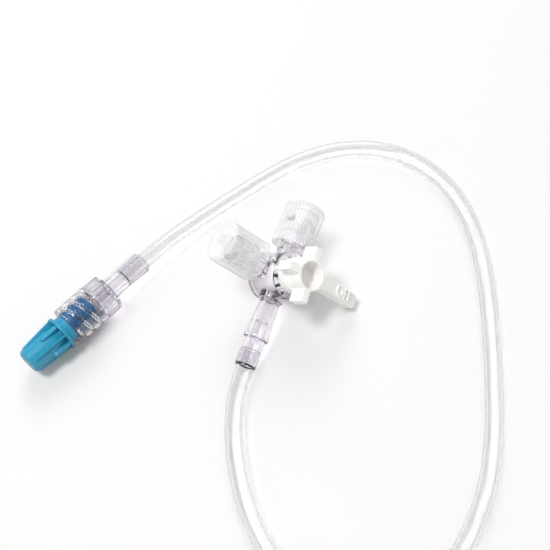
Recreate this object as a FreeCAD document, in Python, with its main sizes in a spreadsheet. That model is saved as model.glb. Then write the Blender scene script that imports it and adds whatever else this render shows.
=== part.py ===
import FreeCAD, Part
import math
import os
import re
import Sketcher

# Infusion extension set: a three-way stopcock with two capped luer ports, a bonded
# extension tube and a male luer lock with its protective cap.
# Millimetres, +Z up, everything lies on the plane z = 0.
# The stopcock has a frame of its own: +X to the blank side, +Y to the inline port,
# +Z along the tap's axis, with its origin where the three ways cross.
# The far connector has one too: +Z from the tube's end to the protective cap's tip.

SIZES = {
    # Tube
    "tube_radius": 2.05,
    "tube_bore": 1.5,
    "bond_gap": 0.01,
    "floor_gap": 0.03,
    # How the stopcock lies: the tilt of its ports, and where the ways cross in plan
    "port_tilt": 12.0,
    "cross_x": -1.2,
    "cross_y": 2.05,
    # Barrel
    "barrel_radius": 5.6,
    "barrel_top": 5.0,
    "base_radius": 5.9,
    "base_depth": 5.2,
    "base_rim": 1.0,
    "groove_radius": 5.0,
    "groove_height": 0.7,
    # Plug and its seat, a slow taper closed by a snap ridge near the foot
    "plug_radius": 4.2,
    "plug_taper": 0.03,
    "plug_fit": 0.03,
    "plug_recess": 0.5,
    "snap_height": 0.8,
    "snap_rise": 0.2,
    "snap_from_foot": 0.6,
    # Ways through the body
    "way_radius": 1.1,
    "tap_way_radius": 1.0,
    # Female luer ports
    "port_reach": 14.8,
    "shoulder_radius": 3.0,
    "shoulder_reach": 6.4,
    "neck_radius": 2.7,
    "hub_radius": 3.2,
    "hub_start": 8.4,
    "hub_rise": 0.6,
    "lug_reach": 3.75,
    "lug_width": 2.4,
    "lug_length": 1.1,
    "luer_mouth": 2.135,
    "luer_slope": 0.03,
    "luer_depth": 8.0,
    "luer_fit": 0.02,
    # Port caps
    "cap_start": 7.6,
    "cap_length": 11.0,
    "cap_radius": 5.05,
    "cap_cavity": 4.1,
    "cap_end_wall": 1.7,
    "cap_edge": 0.9,
    "cap_edge_slope": 0.27,
    "cap_lip": 0.3,
    "cap_cone_length": 9.0,
    "cap_core": 1.3,
    "cap_core_depth": 7.0,
    "cap_flutes": 40,
    "flute_depth": 0.22,
    "flute_width": 0.42,
    "flute_margin": 1.6,
    # Outlet arm, which widens to a lipped socket, and the tube's adapter in it
    "outlet_radius": 2.35,
    "outlet_mouth": 2.85,
    "outlet_reach": 16.4,
    "lip_radius": 2.98,
    "lip_length": 0.9,
    "spigot_radius": 1.95,
    "spigot_length": 4.2,
    "adapter_end": 23.2,
    "adapter_radius": 2.48,
    "adapter_bore": 1.5,
    "tube_stop": 19.2,
    # Tap: the long arm slopes down to its tip, and the whole is turned a little off its stop
    "hub_outer": 3.75,
    "hub_end": 12.2,
    "hub_bore": 3.05,
    "hub_floor": 8.0,
    "column_top": 7.8,
    "foot_bore": 2.6,
    "foot_bore_top": -1.9,
    "arm_bottom": 7.8,
    "arm_reach": 6.7,
    "arm_width": 2.3,
    "off_reach": 17.3,
    "off_width": 3.4,
    "off_tip_bottom": 5.58,
    "off_tip_top": 8.8,
    "tap_turn": 4.5,
    # Far connector: where it lies, its bearing in plan and its roll
    "stem_x": -34.6,
    "stem_y": -4.7,
    "luer_bearing": -110.7,
    "luer_height": 5.05,
    "lead_length": 6.0,
    "fin_roll": -28.0,
    # Male luer with the tube's socket
    "stem_radius": 2.45,
    "stem_waist": 2.2,
    "stem_length": 11.0,
    "socket_depth": 6.0,
    "fin_reach": 2.9,
    "fin_thickness": 0.6,
    "fin_start": 0.4,
    "fin_gap": 0.5,
    "shaft_radius": 2.3,
    "flange_radius": 3.4,
    "flange_length": 0.9,
    "luer_tip": 1.975,
    "luer_overhang": 2.1,
    # Locking collar
    "collar_length": 12.6,
    "collar_grip_length": 3.9,
    "collar_radius": 4.95,
    "collar_grip_radius": 4.45,
    "collar_bore": 4.1,
    "collar_wall": 4.4,
    "collar_fit": 0.05,
    "collar_step": 0.5,
    "collar_ribs": 16,
    "collar_rib_width": 0.7,
    "grip_rib_rise": 0.35,
    # Protective cap on the male luer
    "shield_gap": 1.8,
    "shield_flange": 0.8,
    "shield_flange_radius": 4.3,
    "shield_length": 9.7,
    "shield_root": 3.25,
    "shield_nose": 3.1,
    "shield_edge": 0.6,
    "skirt_radius": 3.45,
    "skirt_clear": 0.5,
    "shield_bore_over": 0.6,
    "key_width": 1.1,
    "key_rise": 0.6,
    "key_length": 3.9,
    "key_count": 4,
    "key_turn": 45.0,
    "rib_width": 0.6,
    "rib_rise": 0.9,
    "rib_tip_rise": 0.3,
    "rib_margin": 1.0,
    "shield_roll": 49.0,
}

# The tube's route on the floor in plan, from the stopcock round to the far connector:
# x, y and how far the tube is lifted off the floor there.
ROUTE = [
    (1.4, -34.6, 0.0),
    (7.3, -45.6, 0.0),
    (15.5, -55.0, 0.0),
    (25.0, -61.4, 0.0),
    (35.7, -62.9, 0.0),
    (45.8, -59.2, 0.0),
    (53.0, -51.2, 0.0),
    (56.6, -40.0, 0.0),
    (57.9, -27.3, 0.0),
    (56.0, -14.0, 0.0),
    (52.6, -1.0, 0.0),
    (48.6, 12.5, 0.0),
    (43.9, 26.0, 0.0),
    (37.2, 39.0, 0.0),
    (26.8, 49.0, 0.0),
    (13.0, 53.0, 0.0),
    (-0.5, 49.0, 0.0),
    (-11.2, 39.8, 0.0),
    (-19.4, 27.2, 0.0),
    (-26.8, 13.8, 0.9),
]
ARC_SHARE = 0.45

# Chord error, in millimetres, of the mesh that the tube's lowest point is read from,
# and the halvings of the search for the pose at rest
TESSELLATION = 0.04
HALVINGS = 50

document = FreeCAD.newDocument("ExtensionSet")
sheet = document.addObject("Spreadsheet::Sheet", "Size")
for row, (alias, value) in enumerate(SIZES.items(), start=1):
    sheet.set(f"A{row}", alias.replace("_", " "))
    sheet.set(f"B{row}", str(value))
    sheet.setAlias(f"B{row}", alias)
document.recompute()


def bound(expression):
    """The expression with every size written as a reference to its cell."""
    return re.sub(r"[a-z]\w*", lambda word: f"Size.{word[0]}" if word[0] in SIZES else word[0], expression)


def size(expression):
    """The present value of an expression of sizes."""
    return float(sheet.evalExpression(expression))


def bind(item, **properties):
    """Ties properties of an object to expressions of sizes."""
    for name, expression in properties.items():
        item.setExpression(name, bound(expression))


def blank_sketch(body, name, plane, height, spin):
    """An empty sketch on one of the body's own planes, raised and turned about its normal."""
    sketch = body.newObject("Sketcher::SketchObject", name)
    face = next(item for item in body.Origin.OriginFeatures if item.Role == plane)
    sketch.AttachmentSupport = [(face, "")]
    sketch.MapMode = "FlatFace"
    spun = FreeCAD.Rotation(FreeCAD.Vector(0, 0, 1), spin)
    sketch.AttachmentOffset = FreeCAD.Placement(FreeCAD.Vector(0, 0, 0), spun)
    sketch.setExpression("AttachmentOffset.Base.z", bound(height))
    return sketch


def outline(body, name, plane, corners, height="0", spin=0):
    """A closed sketch of straight lines, with both coordinates of each corner tied to sizes."""
    sketch = blank_sketch(body, name, plane, height, spin)
    places = [FreeCAD.Vector(size(across), size(along), 0) for across, along in corners]
    for start, end in zip(places, places[1:] + places[:1]):
        sketch.addGeometry(Part.LineSegment(start, end))
    for line in range(len(places)):
        following = (line + 1) % len(places)
        sketch.addConstraint(Sketcher.Constraint("Coincident", line, 2, following, 1))
    for line, (place, corner) in enumerate(zip(places, corners)):
        for kind, axis, value, expression in (
            ("DistanceX", -2, place.x, corner[0]),
            ("DistanceY", -1, place.y, corner[1]),
        ):
            if expression == "0":
                sketch.addConstraint(Sketcher.Constraint("PointOnObject", line, 1, axis))
                continue
            number = sketch.addConstraint(Sketcher.Constraint(kind, -1, 1, line, 1, value))
            sketch.setExpression(f"Constraints[{number}]", bound(expression))
    return sketch


def turned(name, corners):
    """A body of the solid that a half section makes when it turns about the body's Z axis."""
    body = document.addObject("PartDesign::Body", name)
    body.Label = name
    sketch = outline(body, f"{name}_section", "XZ_Plane", corners)
    feature = body.newObject("PartDesign::Revolution", f"{name}_turning")
    feature.Profile = (sketch, [""])
    feature.ReferenceAxis = (sketch, ["V_Axis"])
    feature.Angle = 360
    document.recompute()
    return body


def pad(body, name, plane, corners, length, height="0", midplane=False, spin=0):
    """Adds a straight prism on one of the body's own planes."""
    sketch = outline(body, f"{name}_outline", plane, corners, height, spin)
    feature = body.newObject("PartDesign::Pad", name)
    feature.Profile = (sketch, [""])
    feature.Midplane = midplane
    bind(feature, Length=length)
    document.recompute()
    return feature


def pocket(body, name, plane, corners, length, height="0"):
    """Cuts a straight prism that rises from its sketch."""
    sketch = outline(body, f"{name}_outline", plane, corners, height)
    feature = body.newObject("PartDesign::Pocket", name)
    feature.Profile = (sketch, [""])
    feature.Reversed = True
    bind(feature, Length=length)
    document.recompute()
    return feature


def round_pad(body, name, reach, radius, height, spin=0):
    """Adds a round boss that stands out from the axis, centred at a height."""
    sketch = blank_sketch(body, f"{name}_outline", "YZ_Plane", "0", 0)
    sketch.AttachmentOffset = FreeCAD.Placement(
        FreeCAD.Vector(0, 0, 0), FreeCAD.Rotation(FreeCAD.Vector(0, 1, 0), spin))
    centre = FreeCAD.Vector(0, size(height), 0)
    circle = Part.Circle(centre, FreeCAD.Vector(0, 0, 1), size(radius))
    sketch.addGeometry(circle)
    sketch.addConstraint(Sketcher.Constraint("PointOnObject", 0, 3, -2))
    number = sketch.addConstraint(Sketcher.Constraint("DistanceY", -1, 1, 0, 3, centre.y))
    sketch.setExpression(f"Constraints[{number}]", bound(height))
    number = sketch.addConstraint(Sketcher.Constraint("Radius", 0, size(radius)))
    sketch.setExpression(f"Constraints[{number}]", bound(radius))
    feature = body.newObject("PartDesign::Pad", name)
    feature.Profile = (sketch, [""])
    bind(feature, Length=reach)
    document.recompute()
    return feature


def repeat_round(body, features, name, count):
    """Repeats features about the body's Z axis."""
    pattern = body.newObject("PartDesign::PolarPattern", name)
    pattern.Originals = features
    axis = next(item for item in body.Origin.OriginFeatures if item.Role == "Z_Axis")
    pattern.Axis = (axis, [""])
    pattern.Angle = 360
    bind(pattern, Occurrences=count)
    body.Tip = pattern
    document.recompute()
    return pattern


def slab(width, low, high):
    """Corners of a bar that lies across the axis, from low to high, as wide as given."""
    return [
        (low, f"-({width}) / 2"),
        (high, f"-({width}) / 2"),
        (high, f"({width}) / 2"),
        (low, f"({width}) / 2"),
    ]


def boolean(kind, name, **operands):
    """A Part boolean of the named kind."""
    item = document.addObject(f"Part::{kind}", name)
    item.Label = name
    for operand, value in operands.items():
        setattr(item, operand, value)
    document.recompute()
    return item


def facing(direction):
    """A placement at the crossing of the ways that turns +Z to a direction."""
    turn_to = FreeCAD.Rotation(FreeCAD.Vector(0, 0, 1), FreeCAD.Vector(*direction))
    return FreeCAD.Placement(FreeCAD.Vector(0, 0, 0), turn_to)


INLINE = facing((0, 1, 0))
SIDE = facing((-1, 0, 0))
OUTLET = facing((0, -1, 0))


# Stopcock body: barrel with its base rim, two female ports and the outlet arm

def seat_radius(height, gap="0"):
    """Radius of the plug's seat at a height, less a gap."""
    return f"plug_radius - plug_taper * (barrel_top - ({height})) - ({gap})"


SEAT_FOOT = "-base_depth"
SNAP_LOW = "snap_from_foot - base_depth"
SNAP_HIGH = "snap_from_foot + snap_height - base_depth"


def make_stopcock_body():
    """The clear moulding that the tap turns in."""
    barrel = turned("barrel", [
        ("0", "-base_depth"),
        ("base_radius", "-base_depth"),
        ("base_radius", "base_rim - base_depth"),
        ("groove_radius", "base_rim - base_depth"),
        ("groove_radius", "base_rim + groove_height - base_depth"),
        ("barrel_radius", "base_rim + groove_height - base_depth"),
        ("barrel_radius", "barrel_top"),
        ("0", "barrel_top"),
    ])
    seat = turned("seat", [
        ("0", SEAT_FOOT),
        (seat_radius(SEAT_FOOT), SEAT_FOOT),
        (seat_radius(SNAP_LOW), SNAP_LOW),
        (f"{seat_radius(SNAP_LOW)} + snap_rise", SNAP_LOW),
        (f"{seat_radius(SNAP_HIGH)} + snap_rise", SNAP_HIGH),
        (seat_radius(SNAP_HIGH), SNAP_HIGH),
        ("plug_radius", "barrel_top"),
        ("0", "barrel_top"),
    ])
    outside = [barrel]
    inside = [seat]
    for name, place in (("inline", INLINE), ("side", SIDE)):
        port = turned(f"{name}_port", [
            ("0", "0"),
            ("shoulder_radius", "0"),
            ("shoulder_radius", "shoulder_reach"),
            ("neck_radius", "shoulder_reach"),
            ("neck_radius", "hub_start"),
            ("hub_radius", "hub_start + hub_rise"),
            ("hub_radius", "port_reach"),
            ("0", "port_reach"),
        ])
        pad(port, f"{name}_lugs", "XY_Plane", slab("lug_width", "-lug_reach", "lug_reach"),
            "lug_length", height="port_reach - lug_length")
        port.Placement = place
        bore = turned(f"{name}_bore", [
            ("0", "0"),
            ("way_radius", "0"),
            ("way_radius", "port_reach - luer_depth"),
            ("luer_mouth - luer_slope * luer_depth", "port_reach - luer_depth"),
            ("luer_mouth", "port_reach"),
            ("0", "port_reach"),
        ])
        bore.Placement = place
        outside.append(port)
        inside.append(bore)
    arm = turned("outlet_arm", [
        ("0", "0"),
        ("shoulder_radius", "0"),
        ("shoulder_radius", "shoulder_reach"),
        ("outlet_radius", "shoulder_reach"),
        ("outlet_mouth", "outlet_reach - lip_length"),
        ("lip_radius", "outlet_reach - lip_length"),
        ("lip_radius", "outlet_reach"),
        ("0", "outlet_reach"),
    ])
    arm.Placement = OUTLET
    arm_way = turned("outlet_way", [
        ("0", "0"),
        ("way_radius", "0"),
        ("way_radius", "outlet_reach - spigot_length - bond_gap"),
        ("spigot_radius + bond_gap", "outlet_reach - spigot_length - bond_gap"),
        ("spigot_radius + bond_gap", "outlet_reach"),
        ("0", "outlet_reach"),
    ])
    arm_way.Placement = OUTLET
    solid = boolean("MultiFuse", "body_outside", Shapes=outside + [arm])
    hollow = boolean("MultiFuse", "body_inside", Shapes=inside + [arm_way])
    return boolean("Cut", "stopcock_body", Base=solid, Tool=hollow)


# Tap: plug, handle column and four arms in one moulding

def make_tap():
    """The white tap, open at its head and foot, with a T of ways through the plug."""
    foot = "plug_recess - base_depth"
    tap = turned("tap_blank", [
        ("foot_bore", foot),
        (seat_radius(foot, "plug_fit"), foot),
        (seat_radius(SNAP_LOW, "plug_fit"), "snap_from_foot + plug_fit - base_depth"),
        (f"{seat_radius(SNAP_LOW, 'plug_fit')} + snap_rise", "snap_from_foot + plug_fit - base_depth"),
        (f"{seat_radius(SNAP_HIGH, 'plug_fit')} + snap_rise", f"{SNAP_HIGH} - plug_fit"),
        (seat_radius(SNAP_HIGH, "plug_fit"), f"{SNAP_HIGH} - plug_fit"),
        ("plug_radius - plug_fit", "barrel_top"),
        ("plug_radius - plug_fit", "column_top"),
        ("hub_outer", "column_top"),
        ("hub_outer", "hub_end"),
        ("hub_bore", "hub_end"),
        ("hub_bore", "hub_floor"),
        ("0", "hub_floor"),
        ("0", "foot_bore_top"),
        ("foot_bore", "foot_bore_top"),
    ])
    inner = "(hub_outer + hub_bore) / 2"
    for name, spin in (("inline", 90), ("side", 180), ("outlet", 270)):
        pad(tap, f"{name}_arm", "XY_Plane", slab("arm_width", inner, "arm_reach"),
            "hub_end - arm_bottom", height="arm_bottom", spin=spin)
    pad(tap, "off_arm", "XZ_Plane", [
        (inner, "arm_bottom"),
        ("off_reach", "off_tip_bottom"),
        ("off_reach", "off_tip_top"),
        (inner, "hub_end"),
    ], "off_width", midplane=True)
    through = turned("through_way", [
        ("0", "-barrel_radius"),
        ("tap_way_radius", "-barrel_radius"),
        ("tap_way_radius", "barrel_radius"),
        ("0", "barrel_radius"),
    ])
    through.Placement = INLINE
    branch = turned("branch_way", [
        ("0", "0"),
        ("tap_way_radius", "0"),
        ("tap_way_radius", "barrel_radius"),
        ("0", "barrel_radius"),
    ])
    branch.Placement = SIDE
    ways = boolean("MultiFuse", "tap_ways", Shapes=[through, branch])
    return boolean("Cut", "tap", Base=tap, Tool=ways)


# Port caps: a fluted cup with a hollow luer cone inside

def make_port_cap(name):
    """A translucent cap, drawn with its port's crossing point at the origin."""
    end = "cap_start + cap_length"
    floor = f"{end} - cap_end_wall"
    cone_tip = f"{floor} - cap_cone_length"
    cap = turned(name, [
        ("cap_cavity", "cap_start + cap_lip"),
        ("cap_cavity + cap_lip", "cap_start"),
        ("cap_radius", "cap_start"),
        ("cap_radius", f"{end} - cap_edge"),
        ("cap_radius - cap_edge_slope", f"{end} - cap_edge_slope"),
        ("cap_radius - cap_edge", end),
        ("cap_core", end),
        ("cap_core", f"{end} - cap_core_depth"),
        ("0", f"{end} - cap_core_depth"),
        ("0", cone_tip),
        (f"luer_mouth - luer_fit - luer_slope * (port_reach - ({cone_tip}))", cone_tip),
        (f"luer_mouth - luer_fit + luer_slope * (({floor}) - port_reach)", floor),
        ("cap_cavity", floor),
    ])
    flute = pocket(cap, f"{name}_flute", "XY_Plane",
                   slab("flute_width", "cap_radius - flute_depth", "cap_radius + flute_depth"),
                   "cap_length - flute_margin", height="cap_start")
    repeat_round(cap, [flute], f"{name}_flutes", "cap_flutes")
    return cap


# Adapter between the outlet arm and the tube

def make_adapter():
    """A clear sleeve: its spigot is bonded into the arm's mouth, and it takes the tube."""
    spigot_end = "outlet_reach - spigot_length"
    return turned("tube_adapter", [
        ("adapter_bore", spigot_end),
        ("spigot_radius", spigot_end),
        ("spigot_radius", "outlet_reach + bond_gap"),
        ("adapter_radius", "outlet_reach + bond_gap"),
        ("adapter_radius", "adapter_end"),
        ("tube_radius + bond_gap", "adapter_end"),
        ("tube_radius + bond_gap", "tube_stop"),
        ("adapter_bore", "tube_stop"),
    ])


# Far connector, along its own +Z from the tube's end

COLLAR_START = "stem_length"
COLLAR_END = "stem_length + collar_length"
CAVITY_FLOOR = "stem_length + collar_wall"
FLANGE_START = "stem_length + collar_wall + collar_fit"
FLANGE_END = "stem_length + collar_wall + collar_fit + flange_length"
LUER_END = "stem_length + collar_length + luer_overhang"


def luer_radius(height):
    """Radius of the male cone at a height."""
    return f"luer_tip + luer_slope * ({LUER_END} - ({height}))"


def make_male_luer():
    """The clear connector: tube socket, two side fins, retaining flange and 6 % luer cone."""
    luer = turned("male_luer", [
        ("tube_radius + bond_gap", "0"),
        ("stem_radius", "0"),
        ("stem_waist", "stem_length - fin_gap"),
        ("shaft_radius", COLLAR_START),
        ("shaft_radius", FLANGE_START),
        ("flange_radius", FLANGE_START),
        ("flange_radius", FLANGE_END),
        (luer_radius(FLANGE_END), FLANGE_END),
        ("luer_tip", LUER_END),
        ("way_radius", LUER_END),
        ("way_radius", "socket_depth"),
        ("tube_radius + bond_gap", "socket_depth"),
    ])
    inner = "(tube_radius + stem_waist) / 2 + bond_gap"
    for name, side in (("left", "-"), ("right", "")):
        pad(luer, f"{name}_fin", "XZ_Plane", [
            (f"{side}({inner})", "fin_start"),
            (f"{side}(fin_reach)", "fin_start"),
            (f"{side}(fin_reach)", "stem_length - fin_gap"),
            (f"{side}({inner})", "stem_length - fin_gap"),
        ], "fin_thickness", midplane=True)
    return luer


def make_locking_collar():
    """The clear collar that turns on the connector's shaft."""
    collar = turned("locking_collar", [
        ("shaft_radius + collar_fit", COLLAR_START),
        ("collar_grip_radius", COLLAR_START),
        ("collar_grip_radius", f"{COLLAR_START} + collar_grip_length"),
        ("collar_radius", f"{COLLAR_START} + collar_grip_length + collar_step"),
        ("collar_radius", COLLAR_END),
        ("collar_bore + collar_fit", COLLAR_END),
        ("collar_bore", f"{COLLAR_END} - collar_fit"),
        ("collar_bore", CAVITY_FLOOR),
        ("shaft_radius + collar_fit", CAVITY_FLOOR),
    ])
    inside = "(collar_bore + collar_grip_radius) / 2"
    rib = pad(collar, "grip_rib", "XY_Plane",
              slab("collar_rib_width", inside, "collar_grip_radius + grip_rib_rise"),
              "collar_grip_length + collar_step", height=COLLAR_START)
    repeat_round(collar, [rib], "grip_ribs", "collar_ribs")
    return collar


def make_luer_cap():
    """The teal protective cap: skirt inside the collar, flange, keys and ribs outside."""
    flange_start = f"{COLLAR_END} + shield_gap"
    flange_end = f"{flange_start} + shield_flange"
    tip = f"{flange_end} + shield_length"
    skirt_start = f"{FLANGE_END} + skirt_clear"
    bore_end = f"{LUER_END} + shield_bore_over"
    cap = turned("luer_cap", [
        (f"{luer_radius(skirt_start)} + luer_fit", skirt_start),
        ("skirt_radius", skirt_start),
        ("skirt_radius", flange_start),
        ("shield_flange_radius", flange_start),
        ("shield_flange_radius", flange_end),
        ("shield_root", flange_end),
        ("shield_nose", f"{tip} - shield_edge"),
        ("shield_nose - shield_edge", tip),
        ("0", tip),
        ("0", bore_end),
        ("luer_tip + luer_fit", bore_end),
        ("luer_tip + luer_fit", LUER_END),
    ])
    rib = pad(cap, "rib", "XZ_Plane", [
        ("shield_nose / 2", flange_end),
        ("shield_root + rib_rise", flange_end),
        ("shield_nose + rib_tip_rise", f"{tip} - rib_margin"),
        ("shield_nose / 2", f"{tip} - rib_margin"),
    ], "rib_width", midplane=True)
    repeat_round(cap, [rib], "ribs", "key_count")
    key = pad(cap, "key", "XY_Plane", slab("key_width", "shield_nose / 2", "shield_root + key_rise"),
              "key_length", height=flange_end, spin=size("key_turn"))
    nose = round_pad(cap, "key_nose", "shield_root + key_rise", "key_width / 2",
                     f"{flange_end} + key_length", spin=size("key_turn"))
    repeat_round(cap, [key, nose], "keys", "key_count")
    return cap


def resting_pose():
    """The turn about the ports' axis, and the height of the crossing, at which the base
    rim and the tip of the long arm both touch the floor while the ports keep their tilt."""
    tilt = math.radians(size("port_tilt"))
    base_radius = size("base_radius")
    base_depth = size("base_depth")
    tap_angle = math.radians(size("tap_turn"))
    reach = size("off_reach")
    half_width = size("off_width") / 2
    tip_blank = reach * math.cos(tap_angle) + half_width * math.sin(tap_angle)
    tip_inline = reach * math.sin(tap_angle) - half_width * math.cos(tap_angle)
    tip_bottom = size("off_tip_bottom")
    low = math.radians(10)
    high = math.radians(80)
    for _ in range(HALVINGS):
        turn_angle = (low + high) / 2
        upright = math.cos(tilt) * math.cos(turn_angle)
        rim_height = base_depth * upright + base_radius * math.sqrt(1 - upright ** 2)
        drop = tip_blank * math.cos(tilt) * math.sin(turn_angle) - tip_inline * math.sin(tilt)
        tip_height = drop - tip_bottom * upright
        if tip_height < rim_height:
            low = turn_angle
        else:
            high = turn_angle
    return math.degrees(turn_angle), rim_height


turn_angle, cross_height = resting_pose()
lean = FreeCAD.Rotation(FreeCAD.Vector(1, 0, 0), size("port_tilt"))
roll = FreeCAD.Rotation(FreeCAD.Vector(0, 1, 0), turn_angle)
crossing = FreeCAD.Vector(size("cross_x"), size("cross_y"), cross_height)
STOPCOCK = FreeCAD.Placement(crossing, lean.multiply(roll))

bearing = math.radians(size("luer_bearing"))
luer_axis = FreeCAD.Vector(math.cos(bearing), math.sin(bearing), 0)
stem_end = FreeCAD.Vector(size("stem_x"), size("stem_y"), size("luer_height"))
across = FreeCAD.Vector(0, 0, 1).cross(luer_axis)
CONNECTOR = FreeCAD.Placement(stem_end, FreeCAD.Rotation(across, FreeCAD.Vector(0, 0, 1), luer_axis, "ZYX"))
print("crossing", crossing, "turned", turn_angle)
print("blank, inline and tap axes", [STOPCOCK.Rotation.multVec(FreeCAD.Vector(*axis))
                                    for axis in ((1, 0, 0), (0, 1, 0), (0, 0, 1))])


def make_tube():
    """The tube as straight runs joined by the largest tangent arcs that the runs allow."""
    radius = size("tube_radius")
    floor_height = size("tube_radius + floor_gap")
    first = STOPCOCK.multVec(FreeCAD.Vector(0, -size("tube_stop"), 0))
    down = STOPCOCK.Rotation.multVec(FreeCAD.Vector(0, -1, 0))
    landing = first + down * ((first.z - floor_height) / -down.z)
    lead = CONNECTOR.multVec(FreeCAD.Vector(0, 0, -size("lead_length")))
    last = CONNECTOR.multVec(FreeCAD.Vector(0, 0, size("socket_depth")))
    points = [first, landing]
    points += [FreeCAD.Vector(x, y, floor_height + lift) for x, y, lift in ROUTE]
    points += [lead, last]
    edges = []
    radii = []
    start = points[0]
    for before, corner, after in zip(points, points[1:], points[2:]):
        back = before - corner
        forth = after - corner
        turning = math.pi - back.getAngle(forth)
        setback = ARC_SHARE * min(back.Length, forth.Length)
        radii.append(setback / math.tan(turning / 2))
        enter = corner + back.normalize() * setback
        leave = corner + forth.normalize() * setback
        middle = (back + forth).normalize()
        arc_centre = corner + middle * (radii[-1] / math.cos(turning / 2))
        waypoint = arc_centre - middle * radii[-1]
        edges.append(Part.LineSegment(start, enter).toShape())
        edges.append(Part.Arc(enter, waypoint, leave).toShape())
        start = leave
    edges.append(Part.LineSegment(start, points[-1]).toShape())
    path = Part.Wire(edges)
    rims = [Part.Wire(Part.makeCircle(rim, first, down)) for rim in (radius, size("tube_bore"))]
    outer, inner = [path.makePipeShell([rim], True, False) for rim in rims]
    tube = document.addObject("Part::Feature", "tube")
    tube.Shape = outer.cut(inner)
    section = math.pi * (radius ** 2 - size("tube_bore") ** 2)
    print("tube radii", [round(value, 1) for value in radii])
    print("tube points", [(round(p.x, 1), round(p.y, 1), round(p.z, 2)) for p in points])
    lowest = min(point.z for point in tube.Shape.tessellate(TESSELLATION)[0])
    print("tube length", round(path.Length, 2), "lowest", round(lowest, 3))
    print("tube volume over section times length", round(tube.Shape.Volume / (section * path.Length), 5))
    return tube


def write_out(pieces):
    """Checks every object, then writes each piece to the file that its label names."""
    document.recompute()
    for item in document.Objects:
        if "Invalid" in item.State or "Error" in item.State:
            raise ValueError(f"{item.Name} failed: {item.State}")
    os.makedirs("parts", exist_ok=True)
    for item in pieces:
        shape = item.Shape
        if shape.isNull() or not shape.isValid() or len(shape.Solids) != 1:
            raise ValueError(f"{item.Label} is not one valid solid")
        shape.exportStep(os.path.join("parts", f"{item.Label}.step"))
        box = shape.BoundBox
        print(f"{item.Label}: {shape.Volume:.1f} mm3, x {box.XMin:.2f} {box.XMax:.2f}, "
              f"y {box.YMin:.2f} {box.YMax:.2f}, z {box.ZMin:.2f} {box.ZMax:.2f}")


def place(pieces, placement, roll_angle=0):
    """Puts finished pieces where they belong, rolled about their own Z axis."""
    turn_about = FreeCAD.Rotation(FreeCAD.Vector(0, 0, 1), roll_angle)
    for item in pieces:
        item.Placement = placement.multiply(FreeCAD.Placement(FreeCAD.Vector(0, 0, 0), turn_about))


stopcock_body = make_stopcock_body()
tap = make_tap()
inline_cap = make_port_cap("inline_port_cap")
side_cap = make_port_cap("side_port_cap")
adapter = make_adapter()
male_luer = make_male_luer()
locking_collar = make_locking_collar()
luer_cap = make_luer_cap()
place([stopcock_body], STOPCOCK)
place([tap], STOPCOCK, size("tap_turn"))
place([inline_cap], STOPCOCK.multiply(INLINE))
place([side_cap], STOPCOCK.multiply(SIDE))
place([adapter], STOPCOCK.multiply(OUTLET))
place([male_luer], CONNECTOR, size("fin_roll"))
place([locking_collar], CONNECTOR)
place([luer_cap], CONNECTOR, size("shield_roll"))
tube = make_tube()
write_out([stopcock_body, tap, inline_cap, side_cap, adapter, tube, male_luer, locking_collar, luer_cap])
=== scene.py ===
"""Looks of the infusion extension set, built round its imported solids.

Lengths are metres in the part's own frame: +Z up, and everything lies on z = 0.
The stopcock has a frame of its own: X to the blank side, Y along the inline port,
Z along the tap, from the point where the three ways cross. The far connector's Z
runs from the tube's end to the tip of the protective cap, and its Y points up.
"""

import logging
import math
from collections.abc import Callable
from dataclasses import dataclass
from enum import Enum

import bmesh
import bpy
import numpy as np
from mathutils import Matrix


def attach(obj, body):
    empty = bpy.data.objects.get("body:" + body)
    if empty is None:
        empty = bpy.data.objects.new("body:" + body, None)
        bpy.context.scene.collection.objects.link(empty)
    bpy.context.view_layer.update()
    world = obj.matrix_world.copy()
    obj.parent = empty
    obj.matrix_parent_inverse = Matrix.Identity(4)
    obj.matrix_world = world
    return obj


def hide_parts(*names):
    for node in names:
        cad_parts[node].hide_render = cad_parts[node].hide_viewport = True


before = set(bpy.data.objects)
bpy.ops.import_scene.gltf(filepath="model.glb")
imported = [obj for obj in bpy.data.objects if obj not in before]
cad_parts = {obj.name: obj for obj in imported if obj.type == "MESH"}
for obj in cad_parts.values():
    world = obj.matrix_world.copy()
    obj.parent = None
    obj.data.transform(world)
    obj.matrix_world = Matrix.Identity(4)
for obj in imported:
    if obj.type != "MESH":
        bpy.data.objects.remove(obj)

LOG = logging.getLogger("extension_set")
MERGE = 1e-7
CREASE = math.radians(32)
# How far a form that cuts goes past what it cuts, and the rounding of its hidden corners.
PAST = 0.001
HAIR = 0.00001
# How near a wall's radius a point counts as lying on it.
NEAR = 0.00005
IMAGE_SIDE = 550
SENSOR = 0.036
# How the pieces happen to stand about their axes in the photograph.
TAP_TURN = math.radians(4.5)
FIN_ROLL = math.radians(-28.0)
KEY_ROLL = math.radians(49.0)

Array = np.ndarray
RadiusChange = Callable[[Array, Array, Array], Array]


# Frames, profiles and surfaces

@dataclass(frozen=True)
class Stand:
    """Where a sub-assembly stands: its origin, and its X, Y and Z as the rows of axes."""

    origin: Array
    axes: Array

    def carry(self, points: Array) -> Array:
        """Local points in the part's frame: origin + x X + y Y + z Z."""
        return self.origin + points @ self.axes

    def facing(self, across: tuple[float, ...], along: tuple[float, ...]) -> "Stand":
        """A stand at the same origin whose X and Z are the given local directions.

        Args:
            across: Direction of the new X, in this stand.
            along: Direction of the new Z, in this stand.

        Returns:
            The turned stand, with Y = Z x X.
        """
        x, z = np.array(across, float), np.array(along, float)
        return Stand(self.origin, np.array([x, np.cross(z, x), z]) @ self.axes)

    def rolled(self, angle: float) -> "Stand":
        """The stand turned about its own Z by an angle in radians."""
        c, s = math.cos(angle), math.sin(angle)
        return Stand(self.origin, np.array([[c, s, 0], [-s, c, 0], [0, 0, 1]]) @ self.axes)


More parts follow.
